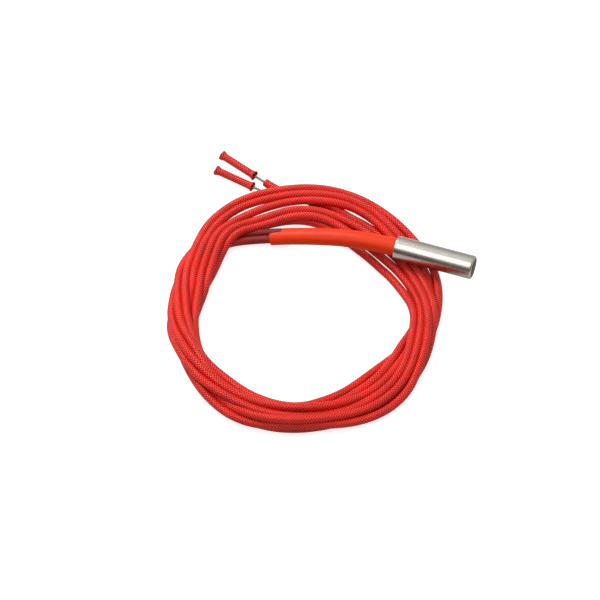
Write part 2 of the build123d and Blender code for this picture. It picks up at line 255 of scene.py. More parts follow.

# %% [markdown]
# ## The leads
# The two leads leave the heater side by side, dip to the floor inside their sleeve, and go in under the coil. Then both
# go round nearly five times in one bundle of ten runs, and come out at the back. A simulation of ten turns of string
# would tangle, so the turns are laid by a rule: at every plan angle the bundle has a mean radius, a half width and a
# half height, and each lead has a place on the bundle's rim. As it goes round, that place creeps over the bundle from
# the outside to the inside, quickly where the hands gave the coil a twist. A few hundred small pushes then keep the
# leads a diameter apart. The ways in and out follow the CAD route, and were moved by up to a few millimetres
# to lie where the photograph has them.

# %% Facts of the leads, and their ways in and out
LEAD_DIAMETER = 2.1 * MM
LEAD_RADIUS = LEAD_DIAMETER / 2
FLOOR = -7.9 * MM
COIL_CENTRE = np.array([-26.8, -21.3]) * MM
SAMPLES_PER_TURN = 120

lead_1_way_in = np.array([(-7.77, -1.08, 0), (-19.07, -1.08, 0), (-34.91, -2.89, -2.79), (-45.54, -4.10, -6.10),
                          (-51.76, -7.50, -5.93)]) * MM
lead_2_way_in = np.array([(-7.77, 1.08, 0), (-19.22, 1.08, 0), (-35.26, -0.76, -2.79), (-46.2, -2.05, -6.10),
                          (-52.67, -5.45, -5.93)]) * MM
lead_1_way_out = np.array([(-38.4, 12.6, -5.43), (-42.7, 12.7, -5.93), (-46.8, 13.9, -6.73), (-50.2, 15.2, -6.73)]) * MM
lead_2_way_out = np.array([(-43.4, 11.9, -6.5), (-46.5, 11.6, -6.73), (-48.6, 11.9, -6.73)]) * MM
print("ways in of", len(lead_1_way_in), "points, ways out of", len(lead_1_way_out), "and", len(lead_2_way_out))

# %% Size of the bundle, and how the leads creep over it
# Every 15 degrees about the coil's centre, from +X on: mean radius and half width
bundle_radius = np.array([30.3, 30.1, 29.4, 29.2, 29.1, 29.6, 31.8, 33.9, 34.2, 33.1, 32.8, 29.4,
                          29.3, 28.9, 31.1, 31.8, 33.6, 34.6, 35.6, 36.7, 34.3, 33.0, 32.0, 30.4]) * MM
bundle_half_width = np.array([3.07, 3.52, 5.44, 6.35, 7.26, 8.32, 8.60, 7.90, 9.00, 8.90, 4.80, 4.60,
                              5.40, 4.24, 4.46, 2.80, 3.23, 4.64, 4.81, 2.80, 4.60, 7.60, 7.80, 5.81]) * MM

# How far the leads have crept round the bundle, in turns of the bundle, at these plan angles
creep_angles = np.array([51, 75, 100, 111, 150, 175, 182, 195, 206, 216, 229, 237, 245, 265, 284, 330, 343, 349, 353,
                         361, 374, 387, 411])
creep = np.array([0, -0.04, -0.02, 0.01, 0.035, 0.08, 0.11, 0.18, 0.26, 0.31, 0.355, 0.395, 0.46, 0.46, 0.44, 0.45,
                  0.48, 0.52, 0.57, 0.66, 0.77, 0.80, 0.80])
CREEP_STARTS, CREEP_PER_TURN, CREEP_SOFTENS = creep_angles[0], creep[-1], 8      # degrees, turns, degrees
BUNDLE_SECTION = 13.2 * MM**2                     # half width times half height
LOWEST_RIM, HIGHEST_RIM = 1.0 * MM, 3.0 * MM      # half height of the rim that the leads' centres lie on
print("bundle: mean radius", round(bundle_radius.mean() / MM, 1), "mm, half width",
      round(bundle_half_width.mean() / MM, 1), "mm")


def round_the_coil(values, turns):
    """A smooth closed curve through equally spaced values: a cubic between each value and the next, whose slope at a
    value is half the difference of its neighbours."""
    place = (turns % 1.0) * len(values)
    first = np.floor(place).astype(int)
    t = place - first
    a, b, c, d = (values[(first + k) % len(values)] for k in (-1, 0, 1, 2))
    return b + 0.5 * t * (c - a + t * (2 * a - 5 * b + 4 * c - d + t * (3 * (b - c) + d - a)))


def creep_at(turns):
    """Creep at a plan angle in turns: 0.8 for each whole turn since 51 degrees, plus the table's, averaged over 16
    degrees so that no bend is sudden."""
    def at(degrees):
        whole = np.floor((degrees - CREEP_STARTS) / 360)
        return CREEP_PER_TURN * whole + np.interp(degrees - 360 * whole, creep_angles, creep)
    return np.mean([at(turns * 360 + shift) for shift in np.linspace(-CREEP_SOFTENS, CREEP_SOFTENS, 9)], axis=0)


def ease(value, low, high):
    """0 below low, 1 above high, and a smooth S between them."""
    t = np.clip((value - low) / (high - low), 0, 1)
    return t * t * (3 - 2 * t)


# %% Places of the leads in the bundle
FIRST_SAMPLE, SAMPLES = 47, 594                  # 3 degrees apart, from 141 degrees to nearly five turns on
sample_number = np.arange(FIRST_SAMPLE, FIRST_SAMPLE + SAMPLES)
coil_turns = sample_number / SAMPLES_PER_TURN
middle_radius = round_the_coil(bundle_radius, coil_turns)
rim_width = round_the_coil(bundle_half_width, coil_turns) - LEAD_RADIUS
rim_height = np.clip(BUNDLE_SECTION / (rim_width + LEAD_RADIUS) - LEAD_RADIUS, LOWEST_RIM, HIGHEST_RIM)

# A place is a share of the way round the rim, from its outermost point up over the top. At 175 degrees the first lead
# is at 0.82 and the second one a tenth further. Both enter 0.30 before that, low on the inside, and over the last
# sixth of a turn they go a little further than the creep, to leave low on the outside.
PLACE_AT_START, BESIDE, ENTERS_BEFORE, LEAVES_BEYOND = 0.82, 0.1, 0.30, (0.10, 0.03)
places = np.array([PLACE_AT_START + BESIDE * lead + creep_at(coil_turns) - creep_at(np.array([175 / 360]))
                   - ENTERS_BEFORE * (1 - ease(coil_turns, coil_turns[0], 0.5))
                   + LEAVES_BEYOND[lead] * ease(coil_turns, coil_turns[-1] - 1 / 6, coil_turns[-1])
                   for lead in (0, 1)])

# At the upper right, from 45 to 120 degrees, the outer turns lie closer together than an even spread would put them.
evenly, drawn_out = [0, 0.1, 0.2, 0.27, 0.3, 0.4, 0.5, 1.0], [0, 0.065, 0.14, 0.25, 0.31, 0.41, 0.5, 1.0]
degrees_round = (coil_turns % 1.0) * 360
upper_right = ease(degrees_round, 45, 65) * (1 - ease(degrees_round, 100, 120))
places += upper_right * (np.interp(places % 1.0, evenly, drawn_out) - places % 1.0)

# A place on the rim as an angle of the ellipse, by its share of the ellipse's length
fine = np.linspace(0, 2 * np.pi, 361)
step = np.hypot(rim_width[:, None] * np.sin(fine), rim_height[:, None] * np.cos(fine))
share = np.concatenate([np.zeros((len(step), 1)), np.cumsum((step[:, 1:] + step[:, :-1]) / 2, axis=1)], axis=1)
share /= share[:, -1:]
rim_angle = np.array([[np.interp(p % 1.0, s, fine) for p, s in zip(place, share)] for place in places])
rest_height = FLOOR + LEAD_RADIUS + rim_height
print("coil samples per lead:", len(coil_turns))

# %% [markdown]
# ## Slits between the turns
# Loose turns leave slits through which the white floor shows. A slit is given by points along it in the camera's view:
# millimetres to the right of and above the point that the camera aims at, and half the slit's width there. While the
# leads settle, each lead is kept on its own side of such a line, a radius and half the slit away from it. Where half
# the width is negative, the leads on both sides may close over the line.

# %% Slits between the turns
view_right = np.array([np.cos(view_turn), np.sin(view_turn), 0.0])
view_up = np.cross(view_right, look)
ring_middle = np.array([1.2, -3.7]) * MM          # the middle of the coil's opening, as the camera sees it
slits = [
    [(-20.7, 17.2, 0.25), (-19.4, 18.8, 0.25), (-17.4, 20.3, 0.25), (-14.9, 21.8, 0.25), (-12.4, 22.9, 0.25),
     (-10.0, 23.8, 0.25), (-8.2, 24.3, 0.25)],
    [(-11.6, 19.9, 0.12), (-10.0, 20.8, 0.12), (-7.5, 21.8, 0.12)],
    [(-3.7, 22.8, -0.50), (0.0, 23.3, -0.25), (3.2, 23.5, 0.15), (6.2, 23.3, 0.32), (8.7, 22.9, 0.38),
     (11.2, 22.4, 0.38), (13.7, 21.4, 0.38), (16.2, 20.0, 0.38), (18.7, 18.4, 0.32), (21.2, 16.7, 0.20)],
    [(18.2, 13.7, 0.10), (20.2, 12.1, 0.18), (22.4, 10.3, 0.22), (23.9, 9.1, 0.18), (25.6, 7.7, 0.10)],
    [(16.2, 11.9, 0.22), (19.9, 9.2, 0.25), (23.2, 6.5, 0.30), (25.6, 3.7, 0.30), (27.6, 1.0, 0.28), (29.1, -2.0, 0.25),
     (30.3, -5.0, 0.15)],
    [(31.3, 10.5, 0.12), (32.0, 8.5, 0.20), (32.5, 6.6, 0.20), (32.9, 5.2, 0.20), (33.2, 3.6, 0.12)],
]
slit_lines = []
for slit in slits:
    right, up, half_slit = np.array(slit).T * MM
    angle = np.unwrap(np.arctan2(up - ring_middle[1], right - ring_middle[0]))
    order = np.argsort(angle)
    slit_lines.append((angle[order], np.hypot(right - ring_middle[0], up - ring_middle[1])[order], half_slit[order]))
print("slits:", len(slit_lines), "with", sum(len(slit) for slit in slits), "points")


# %% How a lead keeps off the slits
BRAID_GIVES, SLIT_PUSH, SLIT_TAPER = 0.03 * MM, 0.6, 0.25


def seen_from_camera(points):
    """Angle and distance of points about the middle of the opening, in the camera's view: a point's offset from the
    camera, divided by how far off it is along the view."""
    offset = points - np.array(camera.location)
    depth = offset @ look
    right = offset @ view_right / depth * view_distance - ring_middle[0]
    up = offset @ view_up / depth * view_distance - ring_middle[1]
    return np.arctan2(up, right) % (2 * np.pi), np.hypot(right, up)


def in_place(radii, heights):
    """Points in metres, from radii about the coil's centre and heights, one for each sample."""
    plan = 2 * np.pi * coil_turns
    return np.stack([COIL_CENTRE[0] + radii * np.cos(plan), COIL_CENTRE[1] + radii * np.sin(plan), heights], axis=-1)


def keep_off_slits(radii, heights):
    """How far each sample's radius has to move: 0.6 of what it lacks of its distance from each slit's line, less near
    the slit's ends. A distance in the view is a longer one on the floor, by the slant of the view."""
    angle, far = seen_from_camera(in_place(radii, heights))
    to_plan = np.hypot(np.cos(angle), np.sin(angle) / np.sin(view_height))
    move = np.zeros(len(radii))
    for slit_angle, slit_far, half_slit in slit_lines:
        for turned in (angle, angle + 2 * np.pi):
            along = (turned - slit_angle[0]) / (slit_angle[-1] - slit_angle[0])
            inside = (along > 0) & (along < 1)
            beyond = far - np.interp(turned, slit_angle, slit_far)
            need = (LEAD_RADIUS - BRAID_GIVES + np.interp(turned, slit_angle, half_slit)) * ease(
                np.minimum(along, 1 - along), 0, SLIT_TAPER)
            lack = np.where(inside, np.clip(need - np.abs(beyond), 0, None), 0)
            move += SLIT_PUSH * lack * np.where(beyond >= 0, 1, -1) * to_plan
    return move


# %% [markdown]
# ## Settling
# The rule spaces the leads evenly, but real ones lie against each other and sink. So all samples move in many small
# steps, as in a simulation of soft bodies, but with the shape that the rule gave as their aim. A physics run would
# find its own shape, and not the one in the photograph.

# %% Where the leads enter the coil
def held_start(points):
    """Radius and height of the first samples of a lead, which follow its way in, from these points (x, y, z) in mm."""
    x, y, z = np.array(points).T * MM
    angle = np.degrees(np.arctan2(y - COIL_CENTRE[1], x - COIL_CENTRE[0]))
    held = coil_turns[coil_turns * 360 <= angle[-1]] * 360
    return np.interp(held, angle, np.hypot(x - COIL_CENTRE[0], y - COIL_CENTRE[1])), np.interp(held, angle, z)


starts = [held_start([(-42.5, -3.6, -5.3), (-45.54, -4.10, -6.1), (-48.5, -5.6, -6.3), (-51.76, -7.5, -5.93)]),
          held_start([(-43.0, -1.55, -5.3), (-46.2, -2.05, -6.1), (-49.3, -3.55, -6.3), (-52.67, -5.45, -5.93)])]
print("held at the start:", " and ".join(str(len(start[0])) for start in starts), "samples")


# %% Settle the leads against each other
CLEARANCE = 1.005 * LEAD_DIAMETER
PUSH_APART, DRAW_TO_PLACE, SINK, SMOOTH, DRAW_IN = 0.35, 0.02, 0.004 * MM, 0.3, 0.10      # all for one pass
FIRST_PASSES, LAST_PASSES = 60, 60


def settle(radii, heights, passes=600):
    """Small moves, repeated. In the upright slice at each plan angle, leads nearer than a diameter push each other
    apart; each lead is drawn a little to its place, kept off the slits, smoothed along its length, lowered, and kept
    inside the bundle's rim and above the floor. The slits count after the first 60 passes, and the last 60 smooth
    twice."""
    slice_of, layer = sample_number % SAMPLES_PER_TURN, sample_number // SAMPLES_PER_TURN
    slots = 2 * (layer.max() + 1)
    aim_radii, aim_heights = radii, heights
    radii, heights = radii.copy(), heights.copy()
    for number in range(passes):
        there = np.full((SAMPLES_PER_TURN, slots, 2), np.nan)
        for lead in (0, 1):
            there[slice_of, layer * 2 + lead] = np.stack([radii[lead], heights[lead]], axis=-1)
        apart = there[:, :, None] - there[:, None]
        distance = np.linalg.norm(apart, axis=-1)
        lack = np.where(distance > 1e-9, np.clip(CLEARANCE - distance, 0, None), 0)
        push = np.nansum(apart * (PUSH_APART * lack / np.maximum(distance, 1e-6))[..., None], axis=2)
        for lead in (0, 1):
            radii[lead] += push[slice_of, layer * 2 + lead, 0]
            heights[lead] += push[slice_of, layer * 2 + lead, 1]
        radii += DRAW_TO_PLACE * (aim_radii - radii)
        heights += DRAW_TO_PLACE * (aim_heights - heights) - SINK
        if number > FIRST_PASSES:
            for lead in (0, 1):
                radii[lead] += keep_off_slits(radii[lead], heights[lead])
        for part in (radii, heights) * (2 if number > passes - LAST_PASSES else 1):
            part[:, 1:-1] += SMOOTH * ((part[:, :-2] + part[:, 2:]) / 2 - part[:, 1:-1])
        for lead, (start_radii, start_heights) in enumerate(starts):
            radii[lead, :len(start_radii)] = start_radii
            heights[lead, :len(start_radii)] = start_heights
        across, upright = (radii - middle_radius) / rim_width, (heights - rest_height) / rim_height
        outside = np.hypot(across, upright)
        draw_in = DRAW_IN * np.clip(outside - 1, 0, None) / np.maximum(outside, 1e-6)
        radii -= draw_in * across * rim_width
        heights = np.maximum(heights - draw_in * upright * rim_height, FLOOR + LEAD_RADIUS)
    return radii, heights


radii, heights = settle(middle_radius + rim_width * np.cos(rim_angle), rest_height + rim_height * np.sin(rim_angle))
coil_points = [in_place(radii[lead], heights[lead]) for lead in (0, 1)]
print("settled between", round((heights.min() - LEAD_RADIUS) / MM, 2), "and",
      round((heights.max() + LEAD_RADIUS) / MM, 2), "mm")

# %% [markdown]
# ## From points to leads
# A lead is one smooth NURBS spline whose control points are its way in, 40 points for each turn of the coil, and its
# way out. In the slices of the coil every lead keeps its distance, but where one crosses another on its way in or out,
# they would still run through each other. There the one in front is lifted towards the camera, and the one behind
# moves away from it, so that the picture keeps its lines. A lift straight up would be simpler, but it would shift the
# leads and their slits in the picture.

# %% Control points
def pick(lead, first_degrees, last_degrees):
    """Every third sample of a lead's coil, 9 degrees apart, between two plan angles."""
    degrees = coil_turns * 360
    chosen = (degrees >= first_degrees) & (degrees <= last_degrees)
    return coil_points[lead][chosen][::3]


lead_1_points = np.vstack([lead_1_way_in, pick(0, 162, 5 * 360 + 100), lead_1_way_out])
lead_2_points = np.vstack([lead_2_way_in, pick(1, 160, 5 * 360 + 108), lead_2_way_out])
print("control points:", len(lead_1_points), "and", len(lead_2_points))


# %% What the control points do to a spline
SAMPLES_PER_SPAN = 6


def spline_weights(count):
    """What share each control point has in each sample of a quadratic spline: half of (1 - t) squared, half plus t
    minus t squared, and half of t squared for the three that rule a span."""
    t = (np.arange(SAMPLES_PER_SPAN) + 0.5) / SAMPLES_PER_SPAN
    shares = np.stack([(1 - t) ** 2 / 2, 0.5 + t - t * t, t * t / 2], axis=-1)
    weights = np.zeros((count - 2, SAMPLES_PER_SPAN, count))
    for span in range(count - 2):
        weights[span, :, span:span + 3] = shares
    return weights.reshape(-1, count)


count_1, count_2 = len(lead_1_points), len(lead_2_points)
weights_1, weights_2 = spline_weights(count_1), spline_weights(count_2)
both_points = np.vstack([lead_1_points, lead_2_points])
both_weights = np.block([[weights_1, np.zeros((len(weights_1), count_2))],
                         [np.zeros((len(weights_2), count_1)), weights_2]])
ways_in, ways_out = np.zeros((2, count_1 + count_2), bool)
ways_in[:len(lead_1_way_in)] = ways_in[count_1:count_1 + len(lead_2_way_in)] = True
ways_out[count_1 - len(lead_1_way_out):count_1] = ways_out[-len(lead_2_way_out):] = True
print("samples along both splines:", len(both_weights))


# %% Pairs of samples that lie near each other
def near_pairs(samples, lead_of, leaving):
    """Numbers of the samples in front and behind, for all pairs less than two diameters apart that are not neighbours
    on one lead. A lead's way out is behind all others; else the one nearer to the camera is in front."""
    deep, right, up = samples @ look, samples @ view_right, samples @ view_up
    behind = deep[None] - deep[:, None]
    aside = np.hypot(right[None] - right[:, None], up[None] - up[:, None])
    along = np.concatenate([lengths_along(samples[lead_of == lead]) for lead in (0, 1)])
    neighbours = (lead_of[None] == lead_of[:, None]) & (np.abs(along[None] - along[:, None]) <= 4 * LEAD_DIAMETER)
    one, other = np.nonzero(np.triu((np.hypot(behind, aside) < 2 * LEAD_DIAMETER) & ~neighbours, 1))
    one_in_front = np.where(leaving[one] == leaving[other], behind[one, other] > 0, leaving[other])
    return np.where(one_in_front, one, other), np.where(one_in_front, other, one)


lead_of_sample = np.repeat((0, 1), (len(weights_1), len(weights_2)))
one_point_before = np.roll(ways_out, -1)
leaving = both_weights @ (ways_out | one_point_before) > 0.5
in_front, at_back = near_pairs(both_weights @ both_points, lead_of_sample, leaving)
print("near pairs of samples:", len(in_front))

# %% Part the leads where they cross
NEAREST = 0.9 * LEAD_DIAMETER
GIVE_WAY, SPREAD = 0.5, 0.05      # shares for one pass


def part_crossings(points, weights, passes=80):
    """Where samples come nearer than nine tenths of a diameter, the one in front moves against the view and the one
    behind along it, by half of what is lacking. The moves are shared out to the control points and smoothed, nothing
    goes below the floor, and the ways in and out stay."""
    free = ~(ways_in | ways_out)
    lowest = np.maximum((FLOOR + LEAD_RADIUS - points[:, 2]) / look[2], 0)
    moved = np.zeros(len(points))
    for _ in range(passes):
        samples = weights @ (points + moved[:, None] * look)
        gap = samples[at_back] - samples[in_front]
        deep = gap @ look
        aside = np.sum(gap * gap, axis=1) - deep * deep
        lack = np.clip(np.sqrt(np.clip(NEAREST**2 - aside, 0, None)) - deep, 0, None)
        back, forward = np.zeros(len(samples)), np.zeros(len(samples))
        np.maximum.at(back, at_back, lack)
        np.maximum.at(forward, in_front, lack)
        moved += free * (weights.T @ (GIVE_WAY * (back - forward))) / np.maximum(weights.sum(axis=0), 1e-6)
        moved[1:-1] += free[1:-1] * SPREAD * ((moved[:-2] + moved[2:]) / 2 - moved[1:-1])
        moved = np.minimum(moved, lowest) * free
    print("crossings moved by up to", round(np.abs(moved).max() / MM, 2), "mm")
    return points + moved[:, None] * look


lead_1_points, lead_2_points = np.split(part_crossings(both_points, both_weights), [count_1])

# %% [markdown]
# Blender works out the splines, and the points of the line that each gives carry the tube, the sleeve and the braid's
# UV map. A bevelled curve would be quicker to make, but its UVs do not measure real lengths.

# %% Splines
def along_spline(name, control_points, steps):
    """The points of an open quadratic NURBS spline through the space near its control points, which starts and ends at
    its first and last one."""
    curve = bpy.data.curves.new(name, "CURVE")
    curve.dimensions = "3D"
    spline = curve.splines.new("NURBS")
    spline.points.add(len(control_points) - 1)
    spline.points.foreach_set("co", np.hstack([control_points, np.ones((len(control_points), 1))]).ravel())
    spline.order_u = 3
    spline.use_endpoint_u = True
    spline.resolution_u = steps
    holder = bpy.data.objects.new(name, curve)
    mesh = bpy.data.meshes.new_from_object(holder)
    line = np.zeros(len(mesh.vertices) * 3)
    mesh.vertices.foreach_get("co", line)
    bpy.data.objects.remove(holder)
    bpy.data.meshes.remove(mesh)
    bpy.data.curves.remove(curve)
    return line.reshape(-1, 3)


lead_1_line = along_spline("lead_1_route", lead_1_points, 6)
lead_2_line = along_spline("lead_2_route", lead_2_points, 6)
for name, line in (("lead 1", lead_1_line), ("lead 2", lead_2_line)):
    print(name, "is", round(lengths_along(line)[-1], 4), "m long, with", len(line), "points along it")


# %% Tubes of braid
def braided_tube(line, columns=20, seed=1):
    """Rings round a line, closed at both ends: radius times squash wide and radius over squash high. Both wander by
    about 2 percent along the lead, as in hand-wound braid, between 200 random values."""
    along = lengths_along(line)
    wander = np.random.default_rng(seed).normal(size=(2, 200))
    uneven = [np.clip(np.interp(along, np.linspace(0, along[-1], 200), w), -1.5, 1.5) for w in wander]
    radius = LEAD_RADIUS * (0.99 + 0.012 * uneven[0])
    squash = 1 + 0.015 * uneven[1]
    points, rows = close_ends(line, round_line(line, radius * squash, radius / squash, columns))
    return skin(points, along[rows])


lead_1 = make_piece("lead_1", [braided_tube(lead_1_line, seed=1)], lead_braid, sharp_above=60)
lead_2 = make_piece("lead_2", [braided_tube(lead_2_line, seed=2)], lead_braid, sharp_above=60)
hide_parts("lead_1_tail", "lead_coil", "lead_1_end")
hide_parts("lead_2_tail", "lead_coil")

# %% [markdown]
# ## Sleeve
# A coated glass-fibre sleeve holds both leads where they leave the sheath. It is a soft tube that was pushed over them,
# so it is wider than it is high, flatter towards its free end, and its end is cut with a step. It follows the line
# midway between the two leads, and hangs on them a little. The skin goes out along the outside and back along the
# inside, which gives the wall its thickness and both ends their lips.

# %% Sleeve material
STREAKS_ROUND, STREAK_LENGTH = 14.0, MM / 0.16      # 6.25 mm
BANDS_ROUND, BAND_SPACING = 1.5, MM / 1.5           # 0.67 mm


def coated_sleeving():
    """Silicone-coated glass sleeving: an even orange-red with a satin face, drawn streaks along it and faint bands
    across it, from the glass cloth below the coating."""
    material, tree = new_material("orange_red_silicone_coated_sleeving")
    uv = add_node(tree, "UVMap", uv_map="UVMap").outputs["UV"]
    stretched = add_node(tree, "VectorMath", {0: uv, 1: (STREAKS_ROUND, 1 / STREAK_LENGTH, 1.0)},
                         operation="MULTIPLY").outputs[0]
    streaks = add_node(tree, "TexNoise", {"Vector": stretched, "Scale": 1.0, "Detail": 4.0,
                                          "Roughness": 0.6}).outputs["Fac"]
    banded = add_node(tree, "VectorMath", {0: uv, 1: (BANDS_ROUND, 1 / BAND_SPACING, 1.0)},
                      operation="MULTIPLY").outputs[0]
    bands = add_node(tree, "TexNoise", {"Vector": banded, "Scale": 1.0, "Detail": 1.0}).outputs["Fac"]
    colour = add_node(tree, "Mix", {"Factor": streaks, "A": linear("#D22A02"), "B": linear("#EE3E0A")},
                      data_type="RGBA")
    height = add_node(tree, "Math", {0: streaks, 1: bands}, operation="ADD").outputs[0]
    bump = add_node(tree, "Bump", {"Height": height, "Distance": 0.06 * MM, "Strength": 0.6})
    shader = add_node(tree, "BsdfPrincipled", {
        "Base Color": colour.outputs[2], "Roughness": 0.42, "IOR": 1.40, "Specular IOR Level": 0.28,
        "Normal": bump.outputs[0]})
    add_node(tree, "OutputMaterial", {"Surface": shader.outputs[0]})
    return material


sleeve_coating = coated_sleeving()


# %% The sleeve's middle line
SLEEVE_END_X, SLEEVE_HANG = -41.2 * MM, 0.45 * MM
shorter = min(len(lead_1_line), len(lead_2_line))
middle = (lead_1_line[:shorter] + lead_2_line[:shorter]) / 2
last_row = int(np.argmax(middle[:, 0] < SLEEVE_END_X))
middle = middle[:last_row + 1]
sleeve_length = lengths_along(middle)[-1]
middle[:, 2] -= SLEEVE_HANG * (lengths_along(middle) / sleeve_length) ** 2
print("sleeve length", round(sleeve_length / MM, 1), "mm")

# %% Sleeve
SLEEVE_ROWS, SLEEVE_COLUMNS = 90, 64
SLEEVE_WIDTH, SLEEVE_HEIGHT, SLEEVE_WALL = 4.80, 4.30, 0.18 * MM      # at the mouth, width and height in mm
NARROWS, FLATTENS = 0.1, 0.33                                         # of half the width and height, in mm
CUT_BACK, CUT_MIDDLE, CUT_FROM, CUT_TO = 3.0 * MM, np.radians(146), np.radians(58), np.radians(64)


def sleeve_skin():
    """Ellipses along the middle line, 4.8 by 4.3 mm at the mouth and 4.6 by 3.6 mm at the free end. Each column ends
    where the cut is at its angle: full length in front and below, 3 mm less on the upper rear side, with a steep step
    between. Out along the outside, back along the inside."""
    turn = 2 * np.pi * np.arange(SLEEVE_COLUMNS) / SLEEVE_COLUMNS
    # The level direction to the left of a line that heads for -X is -Y, which faces the camera: the rear is at turn pi.
    from_cut = np.abs((turn - CUT_MIDDLE + np.pi) % (2 * np.pi) - np.pi)
    cut_back = CUT_BACK * (1 - ease(from_cut, CUT_FROM, CUT_TO))
    share = np.linspace(0, 1, SLEEVE_ROWS)
    reach = share[:, None] * (sleeve_length - cut_back)[None, :]
    along = lengths_along(middle)
    line, left, up = (np.stack([np.interp(reach, along, at_point[:, k]) for k in range(3)], axis=-1)
                      for at_point in (middle, *ring_axes(middle)))
    flat = reach / sleeve_length
    skins = []
    for wall in (0.0, SLEEVE_WALL):
        across = (SLEEVE_WIDTH / 2 - NARROWS * flat) * MM - wall
        upright = (SLEEVE_HEIGHT / 2 - FLATTENS * flat) * MM - wall
        skins.append(line + (across * np.cos(turn))[..., None] * left + (upright * np.sin(turn))[..., None] * up)
    out_and_back = np.concatenate([share, share[::-1], share[:1]])
    return skin(np.concatenate([skins[0], skins[1][::-1]]), out_and_back * sleeve_length, closed=True)


sleeve = make_piece("coated_sleeve", [sleeve_skin()], sleeve_coating)
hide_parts("glass_sleeve")

# %% [markdown]
# ## Steel sheath and end disc
# The sheath is drawn stainless tube, ground to size between wheels, so its marks run round it and are too fine to see
# one by one. The CAD model has it as a few flat facets, which mirror light in stripes. A profile turned about the X
# axis in small steps gives a true round for the reflections.

# %% Steel materials
POLISH_PATCH = MM / 0.3      # 3.3 mm


def ground_steel(name, colour, roughness, marks_size, marks_depth):
    """Steel with fine marks: noise with this size along each axis of the object's coordinates moves the surface a
    little, and slower noise changes how polished it is."""
    material, tree = new_material(name)
    place = add_node(tree, "TexCoord").outputs["Object"]
    stretched = add_node(tree, "VectorMath", {0: place, 1: [1 / size for size in marks_size]},
                         operation="MULTIPLY").outputs[0]
    marks = add_node(tree, "TexNoise", {"Vector": stretched, "Scale": 1.0, "Detail": 3.0}).outputs["Fac"]
    patches = add_node(tree, "TexNoise", {"Vector": place, "Scale": 1 / POLISH_PATCH, "Detail": 2.0}).outputs["Fac"]
    polish = add_node(tree, "MapRange", {"Value": patches, "From Min": 0.3, "From Max": 0.7,
                                         "To Min": roughness * 0.85, "To Max": roughness * 1.15}).outputs[0]
    bump = add_node(tree, "Bump", {"Height": marks, "Distance": marks_depth, "Strength": 1.0})
    shader = add_node(tree, "BsdfPrincipled", {"Base Color": linear(colour), "Metallic": 1.0, "Roughness": polish,
                                               "Normal": bump.outputs[0]})
    add_node(tree, "OutputMaterial", {"Surface": shader.outputs[0]})
    return material


# Grinding marks every 0.05 mm along X, which hardly change round the tube; turning marks 0.11 mm apart on the disc.
sheath_steel = ground_steel("ground_stainless_steel", "#BDB7AE", 0.26, (MM / 20, MM / 0.3, MM / 0.3), 0.0003 * MM)
# The disc's steel is given a far darker colour than the sheath's: painted shade on the end face.
disc_steel_painted_dark = ground_steel("turned_stainless_steel", "#5E5B58", 0.5, (MM / 0.5, MM / 9, MM / 9), 0.004 * MM)


# %% Turned profiles
def turned(profile, columns, closed):
    """A profile of (x, radius) rows turned about the X axis."""
    turn = 2 * np.pi * np.arange(columns) / columns
    x, radius = np.array(profile, float).T * MM
    rows = np.stack([np.broadcast_to(x[:, None], (len(x), columns)), radius[:, None] * np.cos(turn),
                     radius[:, None] * np.sin(turn)], axis=-1)
    along = lengths_along(np.stack([x, radius], axis=-1))
    return skin(rows, np.append(along, along[-1]), closed)


def quarter(x, radius, size, start, steps=8):
    """A quarter circle of the profile about (x, radius), from start degrees on, clockwise."""
    turn = np.radians(start - np.linspace(0, 90, steps))
    return list(zip(x + size * np.cos(turn), radius + size * np.sin(turn)))


# %% Sheath
HALF_LENGTH, RADIUS, BORE, RIM_ROUND, LIP_ROUND = 10.1, 3.0, 2.5, 0.45, 0.07      # all in mm
sheath_profile = [(-HALF_LENGTH + 0.04, BORE), (-HALF_LENGTH, BORE + 0.04), (-HALF_LENGTH, RADIUS - LIP_ROUND),
                  *quarter(-HALF_LENGTH + LIP_ROUND, RADIUS - LIP_ROUND, LIP_ROUND, 180, 5),
                  *[(x, RADIUS) for x in np.linspace(-9.5, 9.2, 24)],
                  *quarter(HALF_LENGTH - RIM_ROUND, RADIUS - RIM_ROUND, RIM_ROUND, 90),
                  (HALF_LENGTH, BORE + 0.02), (HALF_LENGTH - 0.02, BORE),
                  *[(x, BORE) for x in np.linspace(9.6, -9.9, 20)]]
sheath = make_piece("steel_sheath", [turned(sheath_profile, 160, True)], sheath_steel, 30)
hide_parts("sheath")

# %% End disc
DISC_BACK, DISC_FACE, DOME_EDGE, DOME_RISE = 8.93, 9.98, 2.25, 0.45               # all in mm
dome_radius = (DOME_EDGE**2 + DOME_RISE**2) / (2 * DOME_RISE)
dome = [(DISC_FACE + DOME_RISE - dome_radius + np.sqrt(dome_radius**2 - r**2), r)
        for r in np.linspace(0, DOME_EDGE, 12)]
disc_profile = [(DISC_BACK, 0), (DISC_BACK, BORE), (DISC_FACE - 0.02, BORE), (DISC_FACE, BORE - 0.02), *dome[::-1]]
end_disc = make_piece("closed_end_disc", [turned(disc_profile, 96, False)], disc_steel_painted_dark, 30)
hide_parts("end_disc")

# %% [markdown]
# ## Stripped ends
# At each lead's far end the insulation was cut and pulled a few millimetres along, so that a slug of braid 11 mm long
# sits on the tip of the wire and some bare wire shows. The wire is seven strands of nickel-plated copper with a slow
# twist. The slug's ends spread and fray where the blade went through.

# %% Strand material
STRAND_PATCH = 0.4 * MM


